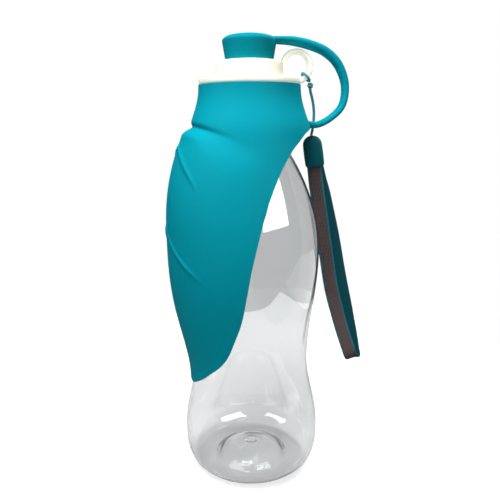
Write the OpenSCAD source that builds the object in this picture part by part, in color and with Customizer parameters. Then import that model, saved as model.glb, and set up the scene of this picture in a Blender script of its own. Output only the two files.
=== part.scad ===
// Dog travel water bottle with a leaf-shaped silicone drinking bowl folded down its side.
// Millimetres. The origin is on the bottle's axis, in the plane of its standing ring.
// +Z is up, the leaf hangs down the -X side, the strap and the lanyard are on the +X side.

/* [Bottle] */
// Outer radius of the standing ring
foot_r = 24.7; // [22:0.1:28]
// Radius of the widest part of the base
base_r = 41.7; // [36:0.1:50]
// Height of the widest part of the base
base_z = 24.4; // [20:0.1:32]
// Radius of the waist
waist_r = 35; // [29:0.1:42]
// Height of the waist
waist_z = 71; // [60:1:85]
// Radius of the belly
belly_r = 41.1; // [36:0.1:50]
// Height of the belly
belly_z = 137.4; // [114:0.1:165]
// Height from the belly to the foot of the neck
shoulder_h = 64; // [53:0.5:77]
// Wall thickness of the bottle
bottle_wall = 1; // [0.8:0.1:1.6]
// Height of the dome pushed up in the base
dome_h = 9; // [5:0.5:12]
// Outer radius of the neck
neck_r = 19.5; // [15:0.1:21]
// Wall thickness of the neck
neck_wall = 1.9; // [1.5:0.1:2.5]
// Length of the neck above the shoulder
neck_h = 30.2; // [25:0.1:38]

/* [Screw thread] */
// Rise of the thread in one turn
thread_pitch = 4; // [3.6:0.1:5]
// Height of a thread ridge from its root
thread_depth = 1.9; // [1.4:0.1:2.2]
// Turns of thread on the neck and in the cap
thread_turns = 1.5; // [1:0.25:1.75]

/* [Cap] */
// Radial gap between the neck's thread and the cap's skirt
thread_gap = 0.8; // [0.5:0.1:1.2]
// Wall thickness of the cap's skirt
skirt_wall = 3.9; // [3:0.1:4.5]
// Height of the cap's skirt below the flange
skirt_h = 19.8; // [16:0.1:20]
// How far the flange stands out past the skirt
flange_lip = 2.3; // [1.5:0.1:4]
// Thickness of the flange
flange_t = 3.2; // [2.4:0.1:4]
// Radius of the upper tier
tier_r = 18.8; // [17.5:0.1:20]
// Height of the upper tier above the flange
tier_h = 9; // [7:0.1:12]
// Wall thickness of the upper tier
tier_wall = 2.4; // [1.6:0.1:3]
// Radius of the low step round the spout
step_r = 16; // [14.5:0.1:17]
// Height of the low step
step_h = 1.4; // [1:0.1:2]
// Outer radius of the spout
spout_r = 10; // [9:0.1:10.6]
// Radius of the spout's bore
spout_bore_r = 7; // [6:0.1:8]
// Height of the spout above the low step
spout_h = 7; // [5:0.1:9]
// Thickness of the sealing ring inside the cap
gasket_t = 1.2; // [0.8:0.1:1.6]
// Clearance on each side of the sealing ring
gasket_gap = 0.3; // [0.2:0.05:0.4]

/* [Eyelet] */
// Radius of the eyelet's hole
eyelet_hole_r = 6.6; // [5.5:0.1:7.4]
// Width of the eyelet's rim
eyelet_rim = 3; // [2.4:0.1:3.6]
// Thickness of the eyelet
eyelet_t = 3; // [2:0.1:4]

/* [Silicone sleeve] */
// Wall thickness of the silicone
sleeve_wall = 2.2; // [1.6:0.1:2.6]
// Wall thickness at the leaf's tip
tip_wall = 1.2; // [0.8:0.1:1.8]
// Gap between the collar and the cap
collar_gap = 0.4; // [0.3:0.05:0.6]
// Height of the straight band at the top of the collar
collar_band_h = 3.6; // [2:0.1:6]
// Radius of the collar at the crease
collar_low_r = 34.6; // [32:0.1:38]
// Height of the collar from the crease, which the leaf folds at, to its top
collar_h = 22.6; // [19:0.1:27]
// How far the crease drops towards the bottle's sides
crease_drop = 11.5; // [8:0.1:14]
// How far the leaf steps out below the crease
crease_step = 1.9; // [1.2:0.1:2.6]
// Length of the leaf from the crease to the tip
leaf_len = 152.5; // [127:0.5:183]
// How far the middle of the leaf bulges out past its sides
bulge_out = 5.1; // [1:0.1:10]
// How far the leaf's most bulged point lies below the crease
bulge_drop = 58.5; // [48:0.5:70]
// Radial gap between the leaf and the bottle's belly at the sides
side_gap = 1.3; // [0.8:0.1:3]
// Radial gap between the leaf's tip and the bottle
tip_gap = 0.8; // [0.5:0.1:2]
// Gap left at the crease and the cuts, where the moulding bends
fold_gap = 0.4; // [0.3:0.05:0.6]

/* [Strap and stopper] */
// Width of the strap along its arch
strap_w = 7; // [5:0.1:7.6]
// Width of the strap where it meets the stopper
strap_root_w = 12; // [9:0.1:14]
// Thickness of the strap
strap_t = 3.8; // [3:0.1:4.6]
// How much thicker the strap is over the arch's shoulder
strap_swell = 1.5; // [0:0.1:1.8]
// Radius of the stopper's lower edge
stopper_low_r = 13.5; // [12.6:0.1:15]
// Radius of the stopper's upper edge
stopper_top_r = 15.1; // [13.6:0.1:16.5]
// Height of the stopper up to its upper edge
stopper_h = 9.6; // [8.6:0.1:12]
// Rise of the stopper's domed top
stopper_dome = 3.1; // [1.5:0.1:4]
// Clearance round the spout inside the stopper
stopper_gap = 0.3; // [0.2:0.05:0.4]
// Length of the plug inside the stopper
plug_h = 5.6; // [3:0.1:6.5]

/* [Lanyard] */
// Diameter of the cord
cord_d = 1.3; // [1:0.1:1.8]
// Radius of the knot below the eyelet
knot_r = 1.7; // [1.4:0.1:2.2]
// Width of the bead
bead_w = 11; // [10:0.1:13]
// Thickness of the bead
bead_t = 7.6; // [6.5:0.1:9]
// Length of the bead
bead_l = 18.8; // [15:0.1:20]
// Width of the wrist loop's webbing
webbing_w = 8.8; // [7:0.1:9.6]
// Thickness of the webbing
webbing_t = 0.9; // [0.7:0.1:1.1]
// Width of the facing sewn on the outside of the webbing
facing_w = 7.2; // [5:0.1:8]
// Thickness of the facing
facing_t = 0.5; // [0.3:0.1:0.7]

/* [Hidden] */

teal = [0, 0.62, 0.71];
teal_dark = [0, 0.36, 0.42];
cream = [0.98, 0.97, 0.92];
clear = [0.85, 0.88, 0.89, 0.45];
grey = [0.33, 0.28, 0.28];

$fn = 96;

// Bottle: heights and radii that follow from the sizes above
neck_foot_z = belly_z + shoulder_h;
neck_top = neck_foot_z + neck_h;
neck_blend = 6;
heel_power = 2.82;
heel_steps = 12;
body_step = 5;
foot_ring_w = 2.4;
support_ring_t = 2;
support_ring_lip = 2.8;
support_ring_gap = 3;
support_ring_r = neck_r + support_ring_lip;
gate_r = 4;
gate_h = 1.2;

// Cap: everything stacks up from the neck's rim
cap_plate_z = neck_top + gasket_t + 2 * gasket_gap;
skirt_z = cap_plate_z - skirt_h;
support_ring_z = skirt_z - support_ring_gap - support_ring_t;
skirt_in_r = neck_r + thread_depth + thread_gap;
skirt_out_r = skirt_in_r + skirt_wall;
flange_r = skirt_out_r + flange_lip;
flange_top = cap_plate_z + flange_t;
tier_top = flange_top + tier_h;
step_top = tier_top + step_h;
spout_top = step_top + spout_h;
tier_in_r = tier_r - tier_wall;
edge_r = 1.2;
mouth_r = neck_r - neck_wall;
gasket_lap = 0.8;
gasket_margin = 1.5;
gasket_in_r = mouth_r - gasket_lap;
gasket_out_r = neck_r + gasket_margin;
gasket_white = [0.9, 0.9, 0.88];

// Thread: the cap's ridge runs half a pitch above the neck's
thread_segments = 24;
thread_root_t = 1.8;
thread_crest_t = 1.1;
thread_sink = 0.5;
thread_below_rim = 3;
neck_thread_z = neck_top - thread_below_rim - thread_pitch * thread_turns;

// Eyelet: its rim sinks into the tier, and its hole starts just above the flange
eyelet_sink = 0.7;
eyelet_lift = 0.5;
eyelet_r = eyelet_hole_r + eyelet_rim;
eyelet_x = tier_r + eyelet_r - eyelet_sink;
eyelet_z = flange_top + eyelet_hole_r + eyelet_lift;

// Sleeve
collar_drop = 0.3;
collar_top = cap_plate_z - collar_drop;
crease_z = collar_top - collar_h;
collar_top_r = skirt_out_r + collar_gap + sleeve_wall;
collar_flare = 1.4;
tip_z = crease_z - leaf_len;
tip_r = bottle_r(tip_z) + tip_gap + tip_wall;
leaf_side_r = belly_r + side_gap + sleeve_wall;
bulge_r = leaf_side_r + bulge_out;
bulge_z = crease_z - bulge_drop;
leaf_cut_angle = 90;
tip_thin_h = 40;
// Leaf outline: height above the tip, and half the angle that the leaf wraps there
outline = [[0, 0], [3.6, 18], [8.4, 29.5], [13, 38], [20, 50], [27, 57.5], [36, 63],
           [49, 69.5], [64, 73.5], [81, 77.5], [100, 83.5], [118.9, 90]];
// Wing outline: angle from the strap, and height of the lower edge below the crease
wing_outline = [[0, 0.5], [12, 0.8], [25, 1.5], [36, 2.5], [46, 4.3], [57, 8.3], [66, 12.5],
                [76, 20], [83.5, 28.2], [90, 38]];

// Stopper
stopper_z = step_top + 0.3;
stopper_top = stopper_z + stopper_h + stopper_dome;
cup_r = spout_r + stopper_gap;
cup_top = spout_top + stopper_gap;
plug_r = spout_bore_r - stopper_gap;

// Strap: centre line in the plane y = 0, from the stopper over the eyelet to the collar
strap_gap = 0.3;
strap_over = 1.8;
strap_sink = 0.8;
strap_x0 = stopper_top_r + strap_gap;
strap_z0 = stopper_z + stopper_h + 0.2;
arch_x = eyelet_x + eyelet_r;
arch_z = max(eyelet_z + eyelet_r + strap_over + strap_t / 2, strap_z0 - 0.1);
strap_end_x = collar_low_r - strap_sink;
strap_end_z = crease_z + 1.3;
strap_route = [[strap_x0, strap_z0], [strap_x0 + 9.6, arch_z + 0.3], [arch_x - 1.8, arch_z - 1.5],
               [arch_x + 8.2, arch_z - 5.2], [arch_x + 16.1, arch_z - 12.3],
               [arch_x + 20.5, arch_z - 23.2], [arch_x + 19.2, arch_z - 34.3],
               [arch_x + 12.6, strap_end_z + 3.8], [strap_end_x + 7.5, strap_end_z - 0.4],
               [strap_end_x, strap_end_z]];
strap_substeps = 4;
strap_sides = 12;

// Lanyard: the ring of cord goes round the eyelet's rim, the knot hangs below it
rim_mid_r = eyelet_hole_r + eyelet_rim / 2;
lanyard_ring_r = 2.95;
ring_at = [eyelet_x + rim_mid_r * cos(45), 0, eyelet_z - rim_mid_r * sin(45)];
knot_gap = 0.2;
knot_hang = 75;
knot_reach = cord_d / 2 + knot_gap + knot_r;
knot_at = ring_at + lanyard_ring_r * [cos(45), 0, -sin(45)]
          + knot_reach * [cos(knot_hang), 0, -sin(knot_hang)];
// Cord: centre line from the knot, behind the strap's foot, to the bead. All of the lanyard's
// points are measured from the knot that it hangs by.
cord_route = [[0.1, 0.2, -1.1], [0.6, 0.9, -3.3], [2.1, 2.2, -6.6], [3.5, 3.6, -10.5],
              [4.4, 4.6, -14.5], [4.6, 5.1, -18.5], [4.3, 5.2, -22.3], [3.7, 5, -25.8],
              [3, 4.6, -28.6]];
cord_sides = 8;
lanyard_turn = -14;
bead_at = [2.9, 4.4, -28.5];
bead_tilt = -8.5;
// Wrist loop: centre line down the front strand and up the back strand, with each
// point's lean from the vertical in degrees
front_route = [[4.9, 2.9, -47.5, 7], [5.7, 2.5, -55.4, 8], [6.8, 2, -63.4, 8],
               [8.7, 1.1, -75.4, 8], [10.5, 0.4, -87.4, 9], [12.4, -0.3, -99.4, 9],
               [14.3, -0.8, -111.4, 10], [16.5, -1.2, -123.4, 13], [19.6, -1.7, -135.4, 16],
               [23.4, -2.1, -148.4, 18], [27.1, -2.3, -159.4, 19], [30.4, -2.3, -168.6, 20]];
back_route = [[33.9, 0.1, -168.4, 17], [32.3, 0.4, -159.4, 16], [30.2, 1.2, -148.4, 14],
              [27.6, 2.2, -135.4, 13], [25.1, 3.2, -123.4, 12], [22.7, 4, -111.4, 12],
              [20.4, 4.5, -99.4, 12], [17.8, 4.7, -87.4, 12], [14.8, 4.8, -75.4, 13],
              [11.7, 4.8, -63.4, 13], [9.1, 4.8, -55.4, 11], [6.9, 4.8, -47.5, 9]];
fold_r = 1.25;
fold_slip = 2.4;
fold_steps = 6;
face_side = webbing_t / 2 + facing_t / 2;

// ---- curves ----

function ease(t) = 0.5 - 0.5 * cos(180 * t);
function mix(a, b, t) = a + (b - a) * t;
function unit(v) = v / norm(v);

// Smooth curve through [x, value] keys, with the slope at each key from its neighbours
function key_slope(keys, i) =
    let (a = max(i - 1, 0), b = min(i + 1, len(keys) - 1))
    (keys[b][1] - keys[a][1]) / (keys[b][0] - keys[a][0]);
function key_index(keys, x, i = 0) =
    i >= len(keys) - 2 || x < keys[i + 1][0] ? i : key_index(keys, x, i + 1);
function through(keys, x) =
    let (i = key_index(keys, x), h = keys[i + 1][0] - keys[i][0])
    let (t = min(max((x - keys[i][0]) / h, 0), 1), u = 1 - t)
    keys[i][1] * u * u * (1 + 2 * t) + keys[i + 1][1] * t * t * (3 - 2 * t)
    + h * t * u * (u * key_slope(keys, i) - t * key_slope(keys, i + 1));

// Smooth route through points of any dimension, with `steps` parts in each stretch
function route_point(p, i, t) =
    let (a = p[max(i - 1, 0)], b = p[i], c = p[i + 1], d = p[min(i + 2, len(p) - 1)])
    0.5 * (2 * b + (c - a) * t + (2 * a - 5 * b + 4 * c - d) * t * t
    + (3 * b - a - 3 * c + d) * t * t * t);
function smooth_route(p, steps) =
    concat([for (i = [0 : len(p) - 2], s = [0 : steps - 1]) route_point(p, i, s / steps)],
           [p[len(p) - 1]]);

// ---- bottle profile ----

function heel(t) =
    [foot_r + (base_r - foot_r) * pow(sin(t), 2 / heel_power),
     base_z * (1 - pow(cos(t), 2 / heel_power))];
function heel_angle(z) = acos(pow(max(1 - z / base_z, 0), heel_power / 2));
function bottle_r(z) =
    z < base_z ? heel(heel_angle(z))[0]
    : z < waist_z ? mix(base_r, waist_r, ease((z - base_z) / (waist_z - base_z)))
    : z < belly_z ? mix(waist_r, belly_r, ease((z - waist_z) / (belly_z - waist_z)))
    : z < neck_foot_z ? mix(belly_r, neck_r, pow((z - belly_z) / shoulder_h, 2))
    : neck_r;
body_steps = ceil((neck_foot_z - base_z) / body_step);
outer_body = concat([for (i = [0 : heel_steps]) heel(90 * i / heel_steps)],
                    [for (i = [1 : body_steps])
                     let (z = mix(base_z, neck_foot_z, i / body_steps)) [bottle_r(z), z]]);

// A profile moved in by the wall, square to its own line
function profile_normal(p, i) =
    let (d = unit(p[min(i + 1, len(p) - 1)] - p[max(i - 1, 0)])) [-d[1], d[0]];
function inset(p, wall) =
    [for (i = [0 : len(p) - 1]) p[i] + wall * (i == 0 ? [0, 1] : profile_normal(p, i))];

module bottle() {
    dome_in_r = foot_r - foot_ring_w;
    dome_steps = 8;
    dome = [for (i = [0 : dome_steps]) let (t = i / dome_steps)
            [mix(gate_r, dome_in_r, t), dome_h * (1 - pow(t, 2))]];
    under = concat([[0, dome_h - gate_h], [gate_r - gate_h, dome_h - gate_h]], dome);
    inner = inset(outer_body, bottle_wall);
    inner_body = [for (p = inner) if (p[1] < neck_foot_z - neck_blend) p];
    floor_line = [for (p = dome) if (p[0] < dome_in_r - 1) [p[0], p[1] + bottle_wall]];
    color(clear)
    union() {
        rotate_extrude()
        polygon(concat(under, outer_body,
                       [[neck_r, support_ring_z],
                        [support_ring_r, support_ring_z + 0.6],
                        [support_ring_r, support_ring_z + support_ring_t],
                        [neck_r, support_ring_z + support_ring_t],
                        [neck_r, neck_top - 0.4],
                        [neck_r - 0.4, neck_top],
                        [mouth_r, neck_top],
                        [mouth_r, neck_foot_z]],
                       reversed(inner_body),
                       reversed(floor_line),
                       [[0, dome_h + bottle_wall]]));
        thread_ridge(neck_r - thread_sink, neck_r + thread_depth, neck_thread_z);
    }
}

function reversed(p) = [for (i = [len(p) - 1 : -1 : 0]) p[i]];

// ---- swept shapes ----

// Solid through rings of equal length, closed at both ends
module through_rings(rings) {
    n = len(rings[0]);
    last = len(rings) - 1;
    sides = [for (i = [0 : last - 1], j = [0 : n - 1])
             let (a = i * n + j, b = i * n + (j + 1) % n) each [[a, b, b + n], [a, b + n, a + n]]];
    start_cap = [for (j = [1 : n - 2]) [0, j + 1, j]];
    end_cap = [for (j = [1 : n - 2]) [last * n, last * n + j, last * n + j + 1]];
    polyhedron([for (r = rings) each r], concat(sides, start_cap, end_cap), convexity = 6);
}

function route_direction(p, i) =
    let (a = p[max(i - 1, 0)], b = p[min(i + 1, len(p) - 1)])
    unit([b[0] - a[0], b[1] - a[1], b[2] - a[2]]);

// One helical ridge: root on radius root_r, crest on radius crest_r
module thread_ridge(root_r, crest_r, z0) {
    steps = thread_segments * thread_turns;
    inward = crest_r < root_r;
    through_rings([for (i = [0 : steps])
        let (a = 360 * i / thread_segments, z = z0 + thread_pitch * i / thread_segments)
        let (fade = min(1, min(i, steps - i) / 3), crest = mix(root_r, crest_r, max(fade, 0.3)))
        let (ring = [[root_r, -thread_root_t / 2], [crest, -thread_crest_t / 2],
                     [crest, thread_crest_t / 2], [root_r, thread_root_t / 2]])
        [for (p = inward ? reversed(ring) : ring) [p[0] * cos(a), p[0] * sin(a), z + p[1]]]]);
}

// ---- cap ----

module screw_cap() {
    arc_steps = 4;
    tier_edge = [for (i = [0 : arc_steps]) let (t = 90 * i / arc_steps)
                 [tier_r - edge_r * (1 - cos(t)), tier_top - edge_r * (1 - sin(t))]];
    color(cream)
    union() {
        rotate_extrude()
        polygon(concat([[skirt_in_r, skirt_z],
                        [skirt_out_r, skirt_z],
                        [skirt_out_r, cap_plate_z],
                        [flange_r - 0.5, cap_plate_z],
                        [flange_r, cap_plate_z + 0.5],
                        [flange_r, flange_top - 1],
                        [flange_r - 0.3, flange_top - 0.3],
                        [flange_r - 1, flange_top],
                        [tier_r, flange_top]],
                       tier_edge,
                       [[step_r, tier_top],
                        [step_r, step_top - 0.4],
                        [step_r - 0.4, step_top],
                        [spout_r, step_top],
                        [spout_r, spout_top - 0.8],
                        [spout_r - 0.8, spout_top],
                        [spout_bore_r + 0.4, spout_top],
                        [spout_bore_r, spout_top - 0.4],
                        [spout_bore_r, tier_top - tier_wall],
                        [tier_in_r, tier_top - tier_wall],
                        [tier_in_r, cap_plate_z],
                        [skirt_in_r, cap_plate_z]]));
        thread_ridge(skirt_in_r + thread_sink, skirt_in_r - thread_depth,
                     neck_thread_z + thread_pitch / 2);
        difference() {
            translate([eyelet_x, eyelet_t / 2, eyelet_z])
            rotate([90, 0, 0])
            difference() {
                cylinder(h = eyelet_t, r = eyelet_r);
                translate([0, 0, -1])
                cylinder(h = eyelet_t + 2, r = eyelet_hole_r);
            }
            translate([0, 0, flange_top])
            cylinder(h = eyelet_r * 2, r = tier_r - tier_wall / 2);
        }
    }
}

module cap_gasket() {
    color(gasket_white)
    translate([0, 0, neck_top + gasket_gap])
    difference() {
        cylinder(h = gasket_t, r = gasket_out_r);
        translate([0, 0, -1])
        cylinder(h = gasket_t + 2, r = gasket_in_r);
    }
}

// ---- silicone sleeve ----

// Outer radius of the collar and, below the crease, of the sleeve's sides
function collar_r(z) =
    z > crease_z
    ? mix(collar_top_r, collar_low_r,
          pow(max((collar_top - collar_band_h - z) / (collar_top - collar_band_h - crease_z), 0),
              collar_flare))
    : side_r(z);
function side_r(z) =
    z > belly_z
    ? mix(collar_low_r, leaf_side_r, pow(sin(90 * (crease_z - z) / (crease_z - belly_z)), 1.2))
    : bottle_r(z) + mix(side_gap + sleeve_wall, tip_gap + tip_wall,
                        ease((belly_z - z) / (belly_z - tip_z)));
// Distance from the axis to the leaf's midrib, outside
function midrib_r(z) =
    z > bulge_z
    ? bulge_r - (bulge_r - collar_low_r - crease_step)
      * pow((z - bulge_z) / (crease_z - bulge_z), 2.2)
    : mix(bulge_r, tip_r, ease(pow((bulge_z - z) / (bulge_z - tip_z), 1.5)));
// Outer radius of the leaf at an angle from the midrib: a circle through the midrib and sides
function leaf_r(z, angle) =
    let (m = midrib_r(z), s = min(side_r(z), m), rho = (m * m + s * s) / (2 * m), e = m - rho)
    e * cos(angle) + sqrt(rho * rho - pow(e * sin(angle), 2));
function crease_at(angle) = crease_z - crease_drop * (1 - cos(angle));
function wing_edge(angle) = crease_z - through(wing_outline, min(abs(angle), 90));
function leaf_half_angle(z) =
    through([for (k = outline) [sqrt(k[0]), k[1]]], sqrt(max(z - tip_z, 0)));
function leaf_wall(z) = mix(tip_wall, sleeve_wall, min((z - tip_z) / tip_thin_h, 1));
function polar(r, a, z) = [r * cos(a), r * sin(a), z];

// Closed shell between an outer and an inner grid of points, both [column][row]
module shell_of(outer, inner, ring = false) {
    cols = len(outer);
    rows = len(outer[0]);
    base = cols * rows;
    last = ring ? cols - 1 : cols - 2;
    function at(c, r) = (c % cols) * rows + r;
    skin = [for (c = [0 : last], r = [0 : rows - 2])
            let (a = at(c, r), b = at(c + 1, r), d = at(c, r + 1), e = at(c + 1, r + 1))
            each [[a, e, b], [a, d, e], [base + a, base + b, base + e],
                  [base + a, base + e, base + d]]];
    rims = [for (c = [0 : last])
            let (a = at(c, 0), b = at(c + 1, 0), d = at(c, rows - 1), e = at(c + 1, rows - 1))
            each [[a, b, base + b], [a, base + b, base + a],
                  [d, base + e, e], [d, base + d, base + e]]];
    ends = ring ? [] : [for (r = [0 : rows - 2])
            let (a = at(0, r), d = at(0, r + 1), b = at(cols - 1, r), e = at(cols - 1, r + 1))
            each [[a, base + d, d], [a, base + a, base + d],
                  [b, e, base + e], [b, base + e, base + b]]];
    polyhedron(concat([for (col = outer) each col], [for (col = inner) each col]),
               concat(skin, rims, ends), convexity = 8);
}

// The collar goes all the way round. Its wings reach down beside the strap, and on the leaf's
// side it stops at the crease.
module sleeve_collar() {
    cut = 0.4;
    angles = concat([for (a = [0 : 6 : 84]) a], [87, 90 - cut, 90 + cut, 93],
                    [for (a = [96 : 6 : 264]) a], [267, 270 - cut, 270 + cut, 273],
                    [for (a = [276 : 6 : 354]) a]);
    rows = 13;
    function low(a) =
        let (b = abs(a > 180 ? a - 360 : a)) b < 90 ? wing_edge(b) : crease_at(180 - b);
    function level(a, i) = mix(low(a), collar_top, i / rows);
    color(teal)
    shell_of([for (a = angles) [for (i = [0 : rows])
                 let (z = level(a, i)) polar(collar_r(z), a, z)]],
             [for (a = angles) [for (i = [0 : rows])
                 let (z = level(a, i)) polar(collar_r(z) - sleeve_wall, a, z)]],
             ring = true);
}

// The leaf below the crease, with its outline from the tip up to the cuts beside the wings
module leaf_blade() {
    rows = 26;
    half_cols = 12;
    cut_gap = fold_gap / leaf_side_r * 180 / PI;
    top_z = crease_z - fold_gap;
    root_level = sqrt(top_z - tip_z);
    function level(i) = tip_z + pow(mix(0.5, root_level, i / rows), 2);
    function spread(i) = min(leaf_half_angle(level(i)), leaf_cut_angle - cut_gap);
    // Rows near the top tilt with the crease
    function tilt(z) = crease_drop * ease(min(max((z - bulge_z) / (top_z - bulge_z), 0), 1));
    function point(i, j, thin) =
        let (a = spread(i) * j / half_cols, z = level(i) - tilt(level(i)) * (1 - cos(a)))
        polar(leaf_r(z, a) - thin * leaf_wall(level(i)), 180 + a, z);
    color(teal)
    shell_of([for (j = [-half_cols : half_cols]) [for (i = [0 : rows]) point(i, j, 0)]],
             [for (j = [-half_cols : half_cols]) [for (i = [0 : rows]) point(i, j, 1)]]);
}

module strap() {
    line = smooth_route(strap_route, strap_substeps);
    count = len(line) - 1;
    // Full width at the stopper, narrowing over the first third of the arch
    function width(i) = mix(strap_root_w, strap_w, ease(min(i / count * 2.6, 1)));
    // It swells in between, most a third of the way along
    function thickness(i) = strap_t + strap_swell * sin(180 * min(i / count / 0.6, 1));
    function direction(i) = i == 0 ? [1, 0] : unit(line[min(i + 1, count)] - line[i - 1]);
    color(teal)
    through_rings([for (i = [0 : count])
        let (d = direction(i), across = [-d[1], 0, d[0]], w = width(i) / 2, t = thickness(i) / 2)
        [for (k = [0 : strap_sides - 1])
         let (a = -360 * (k + 0.5) / strap_sides)
         let (u = sign(cos(a)) * pow(abs(cos(a)), 0.5), v = sign(sin(a)) * pow(abs(sin(a)), 0.5))
         [line[i][0], 0, line[i][1]] + t * v * across + [0, w * u, 0]]]);
}

module stopper() {
    dome_steps = 7;
    rim_z = stopper_z + stopper_h;
    dome = [for (i = [0 : dome_steps]) let (t = 90 * i / dome_steps)
            [(stopper_top_r - 1) * cos(t) + (i == 0 ? 0.7 : 0), rim_z + stopper_dome * sin(t)]];
    color(teal)
    rotate_extrude()
    polygon(concat([[cup_r, stopper_z],
                    [stopper_low_r - 0.3, stopper_z],
                    [stopper_low_r, stopper_z + 0.3],
                    [stopper_top_r, rim_z - 0.8]],
                   dome,
                   [[0, cup_top - plug_h],
                    [plug_r - 0.8, cup_top - plug_h],
                    [plug_r, cup_top - plug_h + 0.8],
                    [plug_r, cup_top],
                    [cup_r, cup_top]]));
}

// ---- lanyard ----

module lanyard_ring() {
    color(teal_dark)
    translate(ring_at)
    rotate([0, 45, 0])
    rotate_extrude()
    translate([lanyard_ring_r, 0])
    circle(d = cord_d, $fn = 24);
}

module lanyard_knot() {
    color(teal_dark)
    translate(knot_at)
    sphere(r = knot_r, $fn = 32);
}

module lanyard_cord() {
    line = [for (p = cord_route) knot_at + p];
    color(teal_dark)
    through_rings([for (i = [0 : len(line) - 1])
        let (d = route_direction(line, i), u = unit(cross(d, [0, 1, 0])), v = cross(d, u))
        [for (k = [0 : cord_sides - 1]) let (a = 360 * k / cord_sides)
         line[i] + cord_d / 2 * (cos(a) * u + sin(a) * v)]]);
}

module lanyard_bead() {
    round_r = bead_w / 2;
    color(teal_dark)
    translate(knot_at + bead_at)
    rotate([0, 0, lanyard_turn])
    rotate([0, bead_tilt, 0])
    translate([0, bead_t / 2, -round_r])
    rotate([90, 0, 0])
    union() {
        cylinder(h = bead_t, r = round_r);
        translate([-round_r, -(bead_l - round_r), 0])
        cube([bead_w, bead_l - round_r, bead_t]);
    }
}

// The loop of webbing: each ring of the sweep stands square to the route
loop_back = [sin(-lanyard_turn), cos(lanyard_turn), 0];
loop_right = [cos(lanyard_turn), sin(lanyard_turn), 0];
function loop_across(lean) = cos(lean) * loop_right + [0, 0, sin(lean)];
function loop_down(lean) = sin(lean) * loop_right - [0, 0, cos(lean)];
fold_lean = (front_route[len(front_route) - 1][3] + back_route[0][3]) / 2;
fold_mid = (xyz(front_route[len(front_route) - 1]) + xyz(back_route[0])) / 2
           + 2.4 * loop_down(fold_lean);
function xyz(p) = [p[0], p[1], p[2]];
loop_route = concat(front_route,
    [for (i = [0 : fold_steps]) let (t = 180 * i / fold_steps,
         p = fold_mid + fold_r * (sin(t) * loop_down(fold_lean) - cos(t) * loop_back)
             - fold_slip / 2 * cos(t) * loop_right)
     [p[0], p[1], p[2], fold_lean]],
    back_route);

module loop_band(width, thickness, outward) {
    last = len(loop_route) - 1;
    through_rings([for (i = [0 : last])
        let (p = loop_route[i], across = loop_across(p[3]))
        let (d = i == 0 ? loop_down(p[3]) : i == last ? -loop_down(p[3])
                 : route_direction(loop_route, i))
        let (out = unit(cross(d, across)), mid = knot_at + xyz(p) + outward * out)
        [for (c = [[-1, -1], [-1, 1], [1, 1], [1, -1]])
         mid + c[0] * width / 2 * across + c[1] * thickness / 2 * out]]);
}

module wrist_webbing() {
    color(teal)
    loop_band(webbing_w, webbing_t, 0);
}

module wrist_facing() {
    color(grey)
    loop_band(facing_w, facing_t, face_side);
}

bottle();
cap_gasket();
screw_cap();
sleeve_collar();
leaf_blade();
strap();
stopper();
lanyard_ring();
lanyard_knot();
lanyard_cord();
lanyard_bead();
wrist_webbing();
wrist_facing();
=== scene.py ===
import math

import bmesh
import bpy
from mathutils import Matrix, Vector


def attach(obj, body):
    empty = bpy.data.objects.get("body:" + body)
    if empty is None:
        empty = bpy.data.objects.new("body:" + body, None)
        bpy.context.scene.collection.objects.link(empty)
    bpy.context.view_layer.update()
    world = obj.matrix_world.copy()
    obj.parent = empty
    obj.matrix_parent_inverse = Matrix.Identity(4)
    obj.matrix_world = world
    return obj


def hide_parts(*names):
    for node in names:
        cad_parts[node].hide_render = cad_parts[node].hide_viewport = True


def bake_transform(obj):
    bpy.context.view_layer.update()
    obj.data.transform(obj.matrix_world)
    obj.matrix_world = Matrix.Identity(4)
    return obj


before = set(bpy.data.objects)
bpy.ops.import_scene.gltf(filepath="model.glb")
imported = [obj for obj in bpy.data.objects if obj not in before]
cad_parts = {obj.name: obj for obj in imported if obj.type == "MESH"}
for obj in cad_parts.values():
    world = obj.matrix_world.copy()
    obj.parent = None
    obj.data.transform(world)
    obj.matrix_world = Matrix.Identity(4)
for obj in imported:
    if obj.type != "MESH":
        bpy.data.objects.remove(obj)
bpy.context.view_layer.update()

MM = 0.001
scene = bpy.context.scene

# ---- camera: it stands where the photographer did, a little above the cap ----

CAMERA_AT = Vector((-75.41, -302.45, 211.53)) * MM
HEADING = math.radians(-14)
LOOK_DOWN = math.radians(13.3)
LEAN = math.radians(-0.311)
# In the photograph's pixels: focal length, shift off centre and width. Then the sensor's width in mm
FOCAL_PX, SHIFT_PX, PHOTO_PX, SENSOR = 530.1, 0.37, 500, 36
OFF_CENTRE = SHIFT_PX / FOCAL_PX
LENS = FOCAL_PX / PHOTO_PX * SENSOR


def add_camera():
    bpy.ops.object.camera_add(location=CAMERA_AT)
    camera = bpy.context.object
    camera.name = "photo_camera"
    turn = (Matrix.Rotation(HEADING + OFF_CENTRE, 4, "Z")
            @ Matrix.Rotation(math.radians(90) - LOOK_DOWN, 4, "X"))
    camera.matrix_world = Matrix.Translation(CAMERA_AT) @ turn @ Matrix.Rotation(LEAN, 4, "Z")
    camera.data.lens = LENS
    camera.data.clip_start = 0.01
    scene.camera = camera


add_camera()


# ---- finishes ----

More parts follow.
